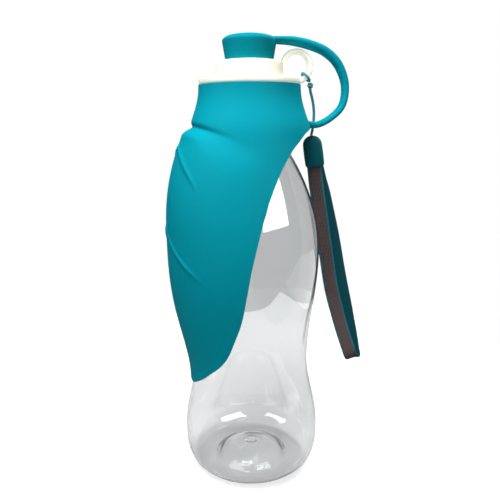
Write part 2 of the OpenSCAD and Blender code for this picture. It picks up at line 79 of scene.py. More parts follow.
class Wire:
    """A node's output. Python's operators on it add Math nodes."""

    def __init__(self, paint, socket):
        self.paint = paint
        self.socket = socket

    def __add__(self, other):
        return self.paint.math("ADD", self, other)

    def __sub__(self, other):
        return self.paint.math("SUBTRACT", self, other)

    def __rsub__(self, other):
        return self.paint.math("SUBTRACT", other, self)

    def __mul__(self, other):
        return self.paint.math("MULTIPLY", self, other)

    def __truediv__(self, other):
        return self.paint.math("DIVIDE", self, other)

    def __rtruediv__(self, other):
        return self.paint.math("DIVIDE", other, self)

    def __pow__(self, other):
        return self.paint.math("POWER", self, other)

    def __neg__(self):
        return self.paint.math("MULTIPLY", self, -1.0)

    __radd__ = __add__
    __rmul__ = __mul__


class Paint:
    """One material: its shader, with short ways to add nodes."""

    def __init__(self, name, **constants):
        self.material = bpy.data.materials.new(name)
        self.material.use_nodes = True
        self.tree = self.material.node_tree
        self.shader = self.tree.nodes["Principled BSDF"]
        for socket, value in constants.items():
            self.shader.inputs[socket.replace("_", " ")].default_value = value
        self.place = self.node("ShaderNodeTexCoord", {}, {}, "Object")

    def node(self, kind, settings, values, output=0):
        made = self.tree.nodes.new(kind)
        for name, value in settings.items():
            if name == "stops":
                ramp = made.color_ramp.elements
                while len(ramp) < len(value):
                    ramp.new(0.5)
                for stop, (at, colour) in zip(ramp, value):
                    stop.position = at
                    stop.color = colour
            else:
                setattr(made, name, value)
        for name, value in values.items():
            if isinstance(value, Wire):
                self.tree.links.new(value.socket, made.inputs[name])
            else:
                made.inputs[name].default_value = value
        return Wire(self, made.outputs[output])

    def math(self, operation, *values):
        return self.node("ShaderNodeMath", {"operation": operation}, dict(enumerate(values)))

    def clamped(self, value):
        return self.node("ShaderNodeClamp", {}, {0: value})

    def noise(self, scale, detail=2.0, rough=0.5, where=None):
        return self.node("ShaderNodeTexNoise", {}, {"Vector": where or self.place, "Scale": scale,
                                                    "Detail": detail, "Roughness": rough})

    def axes(self, where=None):
        source = where or self.place
        return [self.node("ShaderNodeSeparateXYZ", {}, {0: source}, k) for k in range(3)]

    def stretched(self, scale):
        return self.node("ShaderNodeMapping", {}, {"Vector": self.place, "Scale": scale})

    def mixed(self, share, first, second):
        return self.node("ShaderNodeMix", {"data_type": "RGBA"}, {0: share, 6: first, 7: second}, 2)

    def fade(self, value, start, end):
        return self.node("ShaderNodeMapRange", {"interpolation_type": "SMOOTHSTEP"},
                         {0: value, 1: start, 2: end, 3: 0.0, 4: 1.0})

    def stored(self, name):
        return self.node("ShaderNodeAttribute", {"attribute_name": name}, {}, "Fac")

    def set(self, socket, value):
        self.tree.links.new(value.socket, self.shader.inputs[socket])

    def relief(self, height, strength=1.0):
        """A bump whose height is in metres."""
        self.set("Normal", self.node("ShaderNodeBump", {},
                                     {"Height": height, "Distance": 1.0, "Strength": strength}))


def colour(red, green, blue):
    return (red, green, blue, 1.0)


TEAL = colour(0.0, 0.355, 0.455)
TEAL_DEEP = colour(0.0, 0.33, 0.425)
# Painted shade on the stopper (the darker teal) and painted light on the strap (the lighter teal)
STOPPER_SHADE_TEAL = colour(0.0, 0.26, 0.335)
STRAP_LIT_TEAL = colour(0.0, 0.32, 0.41)


# The leaf's veins: height at the midrib in mm, slope and curve by degrees from it, and reach in degrees
VEINS = ((199.9, 0.24, 0.0081, 44.0), (154.8, 0.72, -0.0029, 48.0))
# They slant, so the distance from one is this share of the height from it
VEIN_SLANT = 0.75


def silicone(name, veined=False, strap=False):
    paint = Paint(name, Roughness=0.6, Specular_IOR_Level=0.02)
    cloudy = paint.noise(38.0, 3.0)
    tone = paint.mixed(cloudy, TEAL_DEEP, TEAL)
    if strap:
        # Painted shade and light: the stopper is painted darker, and the strap is painted lighter, as if
        # light shone through its thin silicone
        strap_lit = paint.mixed(cloudy, TEAL_DEEP, STRAP_LIT_TEAL)
        tone = paint.mixed(paint.fade(paint.axes()[0], 0.014, 0.030), STOPPER_SHADE_TEAL, strap_lit)
    paint.set("Base Color", tone)
    grain = paint.noise(2600.0, 2.0)
    soft = paint.noise(420.0, 2.0)
    paint.set("Roughness", 0.55 + 0.10 * soft + 0.06 * cloudy)
    height = grain * 0.000012 + soft * 0.00002
    if veined:
        x, y, z = paint.axes()
        turn = paint.math("ARCTAN2", paint.math("ABSOLUTE", y), -x) * math.degrees(1)
        up = z * 1000.0
        for top, slope, curve, reach in VEINS:
            line = top - turn * slope - turn * turn * curve
            off = (up - line) * VEIN_SLANT
            ridge = paint.math("EXPONENT", -(off * off) / 1.2)
            ridge = ridge * (1.0 - paint.fade(turn, reach * 0.55, reach))
            height = height + ridge * 0.0003
    paint.relief(height)
    return paint.material


def cap_plastic():
    # The emission is a painted glow that lifts the cap's shaded sides towards white
    paint = Paint("cream_white_plastic", Roughness=0.38, IOR=1.46, Subsurface_Weight=0.6,
                  Subsurface_Scale=0.008, Subsurface_Radius=(1.0, 1.0, 1.0),
                  Emission_Color=colour(1.0, 0.98, 0.83), Emission_Strength=0.16)
    cloudy = paint.noise(55.0, 2.0)
    paint.set("Base Color", paint.mixed(cloudy, colour(0.84, 0.82, 0.66), colour(0.88, 0.865, 0.72)))
    grain = paint.noise(1500.0, 2.0)
    paint.set("Roughness", 0.34 + 0.12 * grain)
    paint.relief(grain * 0.000008)
    return paint.material


def clear_plastic():
    paint = Paint("clear_bottle_plastic", Roughness=0.02, IOR=1.5, Transmission_Weight=1.0)
    cloudy = paint.noise(45.0, 2.0)
    paint.set("Base Color", paint.mixed(cloudy, colour(0.90, 0.91, 0.915), colour(0.935, 0.94, 0.945)))
    wavy = paint.noise(60.0, 1.0, where=paint.stretched((1.0, 1.0, 0.45)))
    paint.relief(wavy * 0.00006)
    return paint.material


def gasket_rubber():
    paint = Paint("sealing_ring_silicone", Roughness=0.5)
    cloudy = paint.noise(300.0, 2.0)
    paint.set("Base Color", paint.mixed(cloudy, colour(0.72, 0.72, 0.70), colour(0.80, 0.80, 0.78)))
    paint.set("Roughness", 0.45 + 0.12 * cloudy)
    return paint.material


BRAID_STRANDS = 4


def braided(name, dark, light):
    """Cord: strands that cross as they go round, from the stored turn and distance."""
    paint = Paint(name, Roughness=0.62)
    turn = paint.stored("around")
    along = paint.stored("along")
    one = paint.math("SINE", turn * BRAID_STRANDS * math.tau + along * 7500.0)
    other = paint.math("SINE", turn * BRAID_STRANDS * math.tau - along * 7500.0)
    strands = paint.math("MAXIMUM", one, other)
    fuzz = paint.noise(6000.0, 2.0)
    paint.set("Base Color", paint.mixed(paint.clamped(strands * 0.4 + 0.2 + fuzz * 0.5), dark, light))
    paint.set("Roughness", 0.5 + 0.25 * fuzz)
    paint.relief(strands * 0.00005 + fuzz * 0.00002)
    return paint.material


def woven(name, dark, light, shaded_back, low, ribs, ribs_depth, picks):
    """Webbing: ribs along it and picks across it, from the stored places across and along. The strand at the
    back of the loop gets painted shade, and the front one turns paler towards the fold."""
    paint = Paint(name, Roughness=0.85, Specular_IOR_Level=0.1)
    across = paint.stored("across")
    along = paint.stored("along")
    rib = paint.math("SINE", across * ribs)
    pick = paint.math("SINE", along * picks + rib * 1.2)
    fuzz = paint.noise(5000.0, 3.0)
    patchy = paint.noise(160.0, 2.0)
    weave = paint.clamped(rib * 0.25 + pick * 0.05 + 0.25 + fuzz * 0.45 + patchy * 0.2 - 0.1)
    tone = paint.mixed(weave, dark, light)
    tone = paint.mixed(paint.fade(along, 0.055, 0.110) * 0.6, tone, low)
    # Painted shade: past the fold, the loop's back strand is mixed towards the darker colour
    paint.set("Base Color", paint.mixed(paint.fade(along, 0.121, 0.131) * 0.85, tone, shaded_back))
    paint.set("Roughness", 0.72 + 0.2 * fuzz)
    paint.relief(rib * ribs_depth + pick * ribs_depth * 0.3 + fuzz * 0.00003)
    return paint.material


def clamp_plastic():
    paint = Paint("dark_teal_plastic", Roughness=0.3, Specular_IOR_Level=0.07)
    cloudy = paint.noise(140.0, 2.0)
    paint.set("Base Color", paint.mixed(cloudy, colour(0.0, 0.105, 0.135), colour(0.0, 0.13, 0.165)))
    grain = paint.noise(2400.0, 2.0)
    paint.set("Roughness", 0.27 + 0.12 * grain)
    paint.relief(grain * 0.00001)
    return paint.material


# ---- ways to make a piece ----

def deselect():
    if bpy.context.object and bpy.context.object.mode != "OBJECT":
        bpy.ops.object.mode_set(mode="OBJECT")
    bpy.ops.object.select_all(action="DESELECT")


def take(piece):
    deselect()
    piece.select_set(True)
    bpy.context.view_layer.objects.active = piece


def edit(piece, *actions):
    """Runs edit-mode actions on the whole piece."""
    take(piece)
    bpy.ops.object.mode_set(mode="EDIT")
    bpy.ops.mesh.select_all(action="SELECT")
    for action in actions:
        action()
    bpy.ops.object.mode_set(mode="OBJECT")


def weld(distance=1e-6):
    bpy.ops.mesh.remove_doubles(threshold=distance)


def face_outwards():
    bpy.ops.mesh.normals_make_consistent(inside=False)


def modifier(piece, kind, **settings):
    take(piece)
    added = piece.modifiers.new(kind.lower(), kind)
    for name, value in settings.items():
        setattr(added, name, value)
    bpy.ops.object.modifier_apply(modifier=added.name)


def smooth(piece, angle=35):
    take(piece)
    bpy.ops.object.shade_smooth_by_angle(angle=math.radians(angle))


def joined(pieces, name):
    deselect()
    for piece in pieces:
        piece.select_set(True)
    bpy.context.view_layer.objects.active = pieces[0]
    bpy.ops.object.join()
    whole = bpy.context.object
    whole.name = name
    return whole


def finish(piece, material, body=None, nodes=()):
    piece.data.materials.clear()
    piece.data.materials.append(material)
    if body:
        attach(piece, body)
    if nodes:
        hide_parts(*nodes)
    return piece


def rounded(corners, steps=4):
    """A profile in mm from corners (radius, height, size of the corner's curve)."""
    line = []
    last = len(corners) - 1
    for i, (r, z, size) in enumerate(corners):
        at = Vector((r, z))
        if size == 0 or i in (0, last):
            line.append(at)
            continue
        before = Vector(corners[i - 1][:2]) - at
        after = Vector(corners[i + 1][:2]) - at
        a = at + before.normalized() * min(size, before.length * 0.45)
        b = at + after.normalized() * min(size, after.length * 0.45)
        for k in range(steps + 1):
            t = k / steps
            line.append(a * (1 - t) ** 2 + at * 2 * t * (1 - t) + b * t ** 2)
    return line


def turned(name, line, steps=128, axis=(0, 0, 1), centre=(0, 0, 0), sideways=(1, 0, 0)):
    """A profile in mm, extruded point by point and spun round an axis."""
    axis = Vector(axis)
    side = Vector(sideways)
    points = [(Vector(centre) + side * p[0] + axis * p[1]) * MM for p in line]
    deselect()
    bpy.ops.mesh.primitive_plane_add(size=MM)
    piece = bpy.context.object
    piece.name = name
    bpy.ops.object.mode_set(mode="EDIT")
    bpy.ops.mesh.merge(type="CENTER")
    bpy.ops.transform.translate(value=points[0])
    for here, there in zip(points, points[1:]):
        bpy.ops.mesh.extrude_region_move(TRANSFORM_OT_translate={"value": there - here})
    bpy.ops.mesh.select_all(action="SELECT")
    bpy.ops.mesh.spin(steps=steps, angle=math.tau, center=Vector(centre) * MM, axis=axis)
    bpy.ops.mesh.select_all(action="SELECT")
    weld()
    face_outwards()
    bpy.ops.object.mode_set(mode="OBJECT")
    return piece


def grid(name, columns, rows, place):
    """A grid of points in mm: place(column, row) gives each one."""
    deselect()
    bpy.ops.mesh.primitive_grid_add(x_subdivisions=columns, y_subdivisions=rows, size=2)
    piece = bpy.context.object
    piece.name = name
    for vertex in piece.data.vertices:
        column = round((vertex.co.x + 1) / 2 * columns)
        row = round((vertex.co.y + 1) / 2 * rows)
        vertex.co = Vector(place(column, row)) * MM
    return piece


def swept(name, line, section, across_at, sides, closed=False):
    """A tube in mm along a line of points. section(i, k) gives (across, out) for side k of ring i, and
    across_at(i) the direction that counts as across. Stores the places around, across and along."""
    count = len(line) - 1
    points = [Vector(p) for p in line]
    runs = [0.0]
    for a, b in zip(points, points[1:]):
        runs.append(runs[-1] + (b - a).length)

    def frame_at(i):
        if closed:
            heading = points[(i + 1) % count] - points[(i - 1) % count]
        else:
            heading = points[min(i + 1, count)] - points[max(i - 1, 0)]
        heading.normalize()
        across = Vector(across_at(i))
        across = (across - heading * across.dot(heading)).normalized()
        return across, across.cross(heading)

    frames = [frame_at(i) for i in range(count + 1)]

    def place(column, row):
        across, out = frames[row]
        u, v = section(row, column % sides)
        return points[row] + across * u + out * v

    tube = grid(name, sides, count, place)
    around = tube.data.attributes.new("around", "FLOAT", "POINT")
    beside = tube.data.attributes.new("across", "FLOAT", "POINT")
    along = tube.data.attributes.new("along", "FLOAT", "POINT")
    # The grid's own order: sides + 1 points in each row
    for index in range(len(tube.data.vertices)):
        row, column = divmod(index, sides + 1)
        around.data[index].value = column / sides
        beside.data[index].value = section(row, column % sides)[0] * MM
        along.data[index].value = runs[row] * MM

    def close_ends():
        weld(1e-7)
        if not closed:
            bpy.ops.mesh.select_all(action="DESELECT")
            bpy.ops.mesh.select_non_manifold(extend=False, use_boundary=True)
            bpy.ops.mesh.fill_holes(sides=sides * 2)
            bpy.ops.mesh.select_all(action="SELECT")
        face_outwards()

    edit(tube, close_ends)
    return tube


# ---- curves that the pieces share, in mm and degrees, as in the CAD model ----

def sind(a):
    return math.sin(math.radians(a))


def cosd(a):
    return math.cos(math.radians(a))


def ease(t):
    return 0.5 - 0.5 * cosd(180 * t)


def mix(a, b, t):
    return a + (b - a) * t


def smoothstep(t):
    t = min(max(t, 0.0), 1.0)
    return t * t * (3 - 2 * t)


def through(keys, x):
    """A smooth curve through (x, value) keys."""
    i = 0
    while i < len(keys) - 2 and x >= keys[i + 1][0]:
        i += 1

    def slope(k):
        a, b = max(k - 1, 0), min(k + 1, len(keys) - 1)
        return (keys[b][1] - keys[a][1]) / (keys[b][0] - keys[a][0])

    h = keys[i + 1][0] - keys[i][0]
    t = min(max((x - keys[i][0]) / h, 0), 1)
    u = 1 - t
    return (keys[i][1] * u * u * (1 + 2 * t) + keys[i + 1][1] * t * t * (3 - 2 * t)
            + h * t * u * (u * slope(i) - t * slope(i + 1)))


def spline(points, steps):
    """A smooth route through points, with some steps in each stretch."""
    p = [Vector(q) for q in points]
    line = []
    for i in range(len(p) - 1):
        a, b, c, d = p[max(i - 1, 0)], p[i], p[i + 1], p[min(i + 2, len(p) - 1)]
        for s in range(steps):
            t = s / steps
            line.append(0.5 * (2 * b + (c - a) * t + (2 * a - 5 * b + 4 * c - d) * t ** 2
                               + (3 * b - a - 3 * c + d) * t ** 3))
    return line + [p[-1]]


FOOT_R, BASE_R, BASE_Z = 24.7, 41.7, 24.4
WAIST_R, WAIST_Z, BELLY_R, BELLY_Z = 35.0, 71.0, 41.1, 137.4
NECK_R, NECK_FOOT, NECK_TOP, MOUTH_R = 19.5, 201.4, 231.6, 17.6
BOTTLE_WALL = 1.0
# The heel is a superellipse: 2 would be round, and more is squarer
HEEL_POWER = 2.82


def heel(t):
    return (FOOT_R + (BASE_R - FOOT_R) * sind(t) ** (2 / HEEL_POWER),
            BASE_Z * (1 - cosd(t) ** (2 / HEEL_POWER)))


def bottle_r(z):
    if z < BASE_Z:
        return heel(math.degrees(math.acos(max(1 - z / BASE_Z, 0) ** (HEEL_POWER / 2))))[0]
    if z < WAIST_Z:
        return mix(BASE_R, WAIST_R, ease((z - BASE_Z) / (WAIST_Z - BASE_Z)))
    if z < BELLY_Z:
        return mix(WAIST_R, BELLY_R, ease((z - WAIST_Z) / (BELLY_Z - WAIST_Z)))
    if z < NECK_FOOT:
        return mix(BELLY_R, NECK_R, ((z - BELLY_Z) / (NECK_FOOT - BELLY_Z)) ** 2)
    return NECK_R


COLLAR_TOP, COLLAR_TOP_R, COLLAR_BAND, COLLAR_LOW_R = 233.1, 28.7, 3.6, 34.6
CREASE_Z, CREASE_DROP, CREASE_STEP = 210.5, 11.5, 1.9
TIP_Z, BULGE_R, BULGE_Z, SLEEVE_WALL, TIP_WALL = 58.0, 49.7, 152.0, 2.2, 1.2
SIDE_R = 44.6
TIP_R = bottle_r(TIP_Z) + 0.8 + TIP_WALL
OUTLINE = [(0, 0), (3.6, 18), (8.4, 29.5), (13, 38), (20, 50), (27, 57.5), (36, 63), (49, 69.5), (64, 73.5),
           (81, 77.5), (100, 83.5), (118.9, 90)]
WING_OUTLINE = [(0, 0.5), (12, 0.8), (25, 1.5), (36, 2.5), (46, 4.3), (57, 8.3), (66, 12.5), (76, 20),
                (83.5, 28.2), (90, 38)]


def side_r(z):
    if z > BELLY_Z:
        lift = sind(90 * (CREASE_Z - z) / (CREASE_Z - BELLY_Z)) if z < CREASE_Z else 0.0
        return mix(COLLAR_LOW_R, SIDE_R, lift ** 1.2)
    return bottle_r(z) + mix(1.3 + SLEEVE_WALL, 0.8 + TIP_WALL, ease((BELLY_Z - z) / (BELLY_Z - TIP_Z)))


def collar_r(z):
    if z <= CREASE_Z:
        return side_r(z)
    t = max((COLLAR_TOP - COLLAR_BAND - z) / (COLLAR_TOP - COLLAR_BAND - CREASE_Z), 0)
    return mix(COLLAR_TOP_R, COLLAR_LOW_R, t ** 1.4)


def midrib_r(z):
    if z > BULGE_Z:
        t = min((z - BULGE_Z) / (CREASE_Z - BULGE_Z), 1)
        return BULGE_R - (BULGE_R - COLLAR_LOW_R - CREASE_STEP) * t ** 2.2
    return mix(BULGE_R, TIP_R, ease(((BULGE_Z - z) / (BULGE_Z - TIP_Z)) ** 1.5))


def leaf_r(z, angle):
    m = midrib_r(z)
    s = min(side_r(z), m)
    rho = (m * m + s * s) / (2 * m)
    e = m - rho
    return e * cosd(angle) + math.sqrt(rho * rho - (e * sind(angle)) ** 2)


def skin_r(z):
    """The collar's radius, averaged over some mm so that it flows past the crease."""
    total = sum((8 - abs(d)) * collar_r(z + d) for d in range(-7, 8))
    return total / 64


def crease_at(angle):
    return CREASE_Z - CREASE_DROP * (1 - cosd(angle))


def wing_edge(angle):
    return CREASE_Z - through(WING_OUTLINE, min(abs(angle), 90))


ROOT_OUTLINE = [(math.sqrt(k[0]), k[1]) for k in OUTLINE]


def leaf_half_angle(z):
    return through(ROOT_OUTLINE, math.sqrt(max(z - TIP_Z, 0)))


def polar(r, angle, z):
    return (r * cosd(angle), r * sind(angle), z)


# ---- lanyard: the cords come first ----

CORD = braided("braided_cord", colour(0.0, 0.08, 0.115), colour(0.0, 0.36, 0.46))

KNOT_AT = Vector((36.176, 0.0, 233.421))
CORD_D = 1.6
# The cap's eyelet: its middle, its hole's radius and its rim's
EYELET_AT = (27.7, 0, 243.7)
EYELET_HOLE, EYELET_RIM = 6.6, 9.6
RING_R, RING_CORD_R = 2.95, 0.66
KNOT_R, KNOT_CORD_R = 1.85, 0.6
CORD_ROUTE = [(0.1, 0.2, -1.1), (0.6, 0.9, -3.3), (2.1, 2.2, -6.6), (3.5, 3.6, -10.5), (4.4, 4.6, -14.5),
              (4.6, 5.1, -18.5), (4.3, 5.2, -22.3), (3.7, 5, -25.8), (3, 4.6, -28.6), (2.95, 4.5, -31.6)]
BEAD_AT = Vector((2.9, 4.4, -28.5))
BEAD_W, BEAD_T, BEAD_L = 11.0, 7.6, 18.8
LANYARD_TURN, BEAD_TILT = -14.0, -8.5
FRONT_ROUTE = [(4.77, 2.95, -46.0, 7), (5.7, 2.5, -55.4, 8), (6.8, 2, -63.4, 8), (8.7, 1.1, -75.4, 8),
               (10.5, 0.4, -87.4, 9), (12.4, -0.3, -99.4, 9), (14.3, -0.8, -111.4, 10),
               (16.5, -1.2, -123.4, 13), (19.6, -1.7, -135.4, 16), (23.4, -2.1, -148.4, 18),
               (27.1, -2.3, -159.4, 19), (30.4, -2.3, -168.6, 20)]
BACK_ROUTE = [(33.9, 0.1, -168.4, 17), (32.3, 0.4, -159.4, 16), (30.2, 1.2, -148.4, 14),
              (27.6, 2.2, -135.4, 13), (25.1, 3.2, -123.4, 12), (22.7, 4, -111.4, 12),
              (20.4, 4.5, -99.4, 12), (17.8, 4.7, -87.4, 12), (14.8, 4.8, -75.4, 13),
              (11.7, 4.8, -63.4, 13), (9.1, 4.8, -55.4, 11), (6.5, 4.8, -46.0, 9)]
LOOP_RIGHT = Vector((cosd(LANYARD_TURN), sind(LANYARD_TURN), 0))
LOOP_BACK = Vector((sind(-LANYARD_TURN), cosd(LANYARD_TURN), 0))
# The fold at the loop's foot: its radius, how far it hangs below the last points, and its slip to the side
FOLD_R, FOLD_DROP, FOLD_SLIP = 1.25, 2.4, 2.4
# Widths and thicknesses, and where the facing lies from the webbing's middle: minus is outside the loop
WEBBING_W, WEBBING_T = 8.8, 0.9
FACING_W, FACING_T, FACE_SIDE = 7.2, 0.5, -0.7


def round_section(radius, sides):
    return lambda i, k: (radius * math.cos(math.tau * k / sides), radius * math.sin(math.tau * k / sides))


def eyelet_ring():
    """The small ring of cord round the eyelet's rim."""
    rim = (EYELET_HOLE + EYELET_RIM) / 2
    centre = Vector((EYELET_AT[0] + rim * cosd(45), 0, EYELET_AT[2] - rim * sind(45)))
    steps = 48
    line = []
    for i in range(steps + 1):
        a = 360 * i / steps
        at = Vector((RING_R * cosd(a), RING_R * sind(a), 0))
        line.append(centre + Vector((at.x * cosd(45), at.y, -at.x * sind(45))))
    ring = swept("eyelet_cord_ring", line, round_section(RING_CORD_R, 14),
                 lambda i: (sind(45), 0, cosd(45)), 14, closed=True)
    smooth(ring)
    return finish(ring, CORD, "cap", ["lanyard_ring"])


def knot():
    """The knot as a ball wound of cord, small enough to clear the ring however far it swings."""
    line = []
    steps = 90
    for i in range(steps + 1):
        t = i / steps
        a = 360 * 2.6 * t
        down = mix(21, 159, t)
        r = (KNOT_R - KNOT_CORD_R) * sind(down)
        line.append(KNOT_AT + Vector((r * cosd(a), r * sind(a), (KNOT_R - KNOT_CORD_R) * cosd(down))))
    tube = swept("cord_knot", line, round_section(KNOT_CORD_R, 12), lambda i: (0, 0, 1), 12)
    smooth(tube)
    return finish(tube, CORD, "lanyard", ["lanyard_knot"])


def bead():
    """The clamp on the cord, extruded from its outline: a round top and nearly straight sides."""
    half, below = BEAD_W / 2, BEAD_L
    outline = [(half * cosd(180 * i / 40), half * sind(180 * i / 40) - half) for i in range(41)]
    outline += [(-half - 0.15, -below * 0.6), (-half, -below), (half, -below), (half + 0.15, -below * 0.6)]
    points = [Vector((x, BEAD_T / 2, z)) * MM for x, z in outline]
    deselect()
    bpy.ops.mesh.primitive_plane_add(size=MM)
    piece = bpy.context.object
    piece.name = "lanyard_clamp"
    bpy.ops.object.mode_set(mode="EDIT")
    bpy.ops.mesh.merge(type="CENTER")
    bpy.ops.transform.translate(value=points[0])
    for here, there in zip(points, points[1:]):
        bpy.ops.mesh.extrude_region_move(TRANSFORM_OT_translate={"value": there - here})
    bpy.ops.mesh.select_all(action="SELECT")
    bpy.ops.mesh.edge_face_add()
    bpy.ops.mesh.extrude_region_move(TRANSFORM_OT_translate={"value": (0, -BEAD_T * MM, 0)})
    bpy.ops.mesh.select_all(action="SELECT")
    face_outwards()
    bpy.ops.object.mode_set(mode="OBJECT")
    modifier(piece, "BEVEL", width=1.7 * MM, segments=7, limit_method="ANGLE", angle_limit=math.radians(50))
    turn = (Matrix.Rotation(math.radians(LANYARD_TURN), 4, "Z")
            @ Matrix.Rotation(math.radians(BEAD_TILT), 4, "Y"))
    piece.data.transform(Matrix.Translation((KNOT_AT + BEAD_AT) * MM) @ turn)
    smooth(piece, 40)
    return finish(piece, clamp_plastic(), "lanyard", ["lanyard_bead"])


def lanyard_cord():
    route = spline([KNOT_AT + Vector(p) for p in CORD_ROUTE], 6)
    tube = swept("lanyard_cord_run", route, round_section(CORD_D / 2, 16), lambda i: (0, 1, 0), 16)
    smooth(tube)
    finish(tube, CORD, "lanyard", ["lanyard_cord"])
    [p * MM for p in route]
    knot()
    bead()
    return tube


def loop_route():
    """The wrist loop's centre line with its lean: down the front, round the fold, up the back."""
    lean = (FRONT_ROUTE[-1][3] + BACK_ROUTE[0][3]) / 2
    down = sind(lean) * LOOP_RIGHT - Vector((0, 0, cosd(lean)))
    middle = (Vector(FRONT_ROUTE[-1][:3]) + Vector(BACK_ROUTE[0][:3])) / 2 + FOLD_DROP * down
    fold = []
    for i in range(7):
        at = middle + FOLD_R * (sind(30 * i) * down - cosd(30 * i) * LOOP_BACK)
        at -= FOLD_SLIP / 2 * cosd(30 * i) * LOOP_RIGHT
        fold.append((*at, lean))
    keys = [Vector(p) for p in FRONT_ROUTE + fold + BACK_ROUTE]
    points = []
    for i in range(len(keys) - 1):
        a, b, c, d = keys[max(i - 1, 0)], keys[i], keys[i + 1], keys[min(i + 2, len(keys) - 1)]
        steps = 2 if len(FRONT_ROUTE) - 1 <= i < len(FRONT_ROUTE) + len(fold) else 8
        for s in range(steps):
            t = s / steps
            points.append(0.5 * (2 * b + (c - a) * t + (2 * a - 5 * b + 4 * c - d) * t ** 2
                                 + (3 * b - a - 3 * c + d) * t ** 3))
    points.append(keys[-1])
    return points


def band_section(width, thickness, sides=24, power=0.16, out=0.0):
    def section(i, k):
        a = math.tau * (k + 0.5) / sides
        c, s = math.cos(a), math.sin(a)
        return (width / 2 * math.copysign(abs(c) ** power, c),
                out + thickness / 2 * math.copysign(abs(s) ** (power * 2.2), s))
    return section


def wrist_loop():
    route = loop_route()
    line = [KNOT_AT + Vector(p[:3]) for p in route]
    leans = [p[3] for p in route]

    def across(i):
        return cosd(leans[i]) * LOOP_RIGHT + Vector((0, 0, sind(leans[i])))

    webbing = swept("wrist_loop_webbing", line, band_section(WEBBING_W, WEBBING_T), across, 24)
    smooth(webbing, 60)
    finish(webbing, WEBBING, "lanyard", ["wrist_webbing"])
    facing = swept("wrist_loop_facing", line, band_section(FACING_W, FACING_T, out=FACE_SIDE), across, 24)
    smooth(facing, 60)
    finish(facing, FACING, "lanyard", ["wrist_facing"])
    return webbing


# The third colour of each is painted shade for the loop's back strand
WEBBING = woven("teal_webbing", colour(0.0, 0.13, 0.17), colour(0.0, 0.40, 0.48), colour(0.0, 0.055, 0.08),
                colour(0.0, 0.26, 0.32), 9000.0, 0.00004, 6000.0)
FACING = woven("grey_facing", colour(0.05, 0.035, 0.037), colour(0.165, 0.122, 0.124),
               colour(0.05, 0.035, 0.037), colour(0.19, 0.15, 0.15), 7000.0, 0.00006, 2600.0)

eyelet_ring()
lanyard_cord()
wrist_loop()


# ---- bottle ----

def bottle():
    outer = []
    for i in range(25):
        outer.append(Vector(heel(90 * i / 24)))
    count = 110
    for i in range(1, count + 1):
        z = mix(BASE_Z, NECK_FOOT, i / count)
        outer.append(Vector((bottle_r(z), z)))
    inner = []
    for i, p in enumerate(outer):
        a, b = outer[max(i - 1, 0)], outer[min(i + 1, len(outer) - 1)]
        d = (b - a).normalized()
        normal = Vector((-d.y, d.x)) if i else Vector((0, 1))
        q = p + normal * BOTTLE_WALL
        if q.y < NECK_FOOT - 6:
            inner.append(q)
    dome = []
    for i in range(15):
        t = i / 14
        dome.append(Vector((mix(4.0, 22.3, t), 9.0 * (1 - t ** 2))))
    under = [Vector((0, 7.6)), Vector((1.6, 7.65)), Vector((2.6, 7.9)), Vector((3.4, 8.5))] + dome[:-1]
    foot = [Vector((22.2, 0.35)), Vector((22.9, 0.08)), Vector((23.6, 0.0))]
    top_floor = [Vector((0, 9.6)), Vector((2.4, 9.7)), Vector((3.6, 9.95))]
    top_floor += [p + Vector((0, BOTTLE_WALL)) for p in dome if p.x < 16.5]
    a, b, c = Vector((17.0, 5.46)), Vector((22.5, 1.0)), Vector((31.0, 1.4))
    valley = [a * (1 - t) ** 2 + b * 2 * t * (1 - t) + c * t ** 2 for t in (k / 14 for k in range(15))]
    inner = valley + [p for p in inner if p.x > 31.5 or p.y > 30]
    ring = rounded([(NECK_R, 204.0, 0), (NECK_R, 208.6, 0.6), (22.3, 209.0, 0.5), (22.3, 210.6, 0.5),
                    (NECK_R, 210.8, 0.6), (NECK_R, NECK_TOP, 0.6), (MOUTH_R, NECK_TOP, 0.5),
                    (MOUTH_R, 203.0, 0.0), (MOUTH_R, 202.0, 0)])
    line = under + foot + outer[1:] + ring + inner[::-1] + top_floor[::-1]
    body = turned("bottle_shell", line, 160)
    ridge = thread("bottle_thread", 19.0, 21.4, 222.6)
    whole = joined([body, ridge], "clear_bottle")
    smooth(whole, 40)
    return finish(whole, clear_plastic(), "bottle", ["bottle"])


def thread(name, root, crest, start, turns=1.5, pitch=4.0):
    steps = round(48 * turns)
    line = [polar((root + crest) / 2, 360 * i / 48, start + pitch * i / 48) for i in range(steps + 1)]
    reach = abs(crest - root) / 2
    flip = 1 if crest > root else -1

    def section(i, k):
        fade = max(min(1, min(i, steps - i) / 6), 0.3)
        corners = [(-0.9, -reach), (-0.5, -reach + 2 * reach * fade), (0.5, -reach + 2 * reach * fade),
                   (0.9, -reach)]
        up, out = corners[k]
        return (out * flip, up)

    return swept(name, line, section, lambda i: polar(1, 360 * i / 48, 0), 4)


bottle()


# ---- screw cap ----

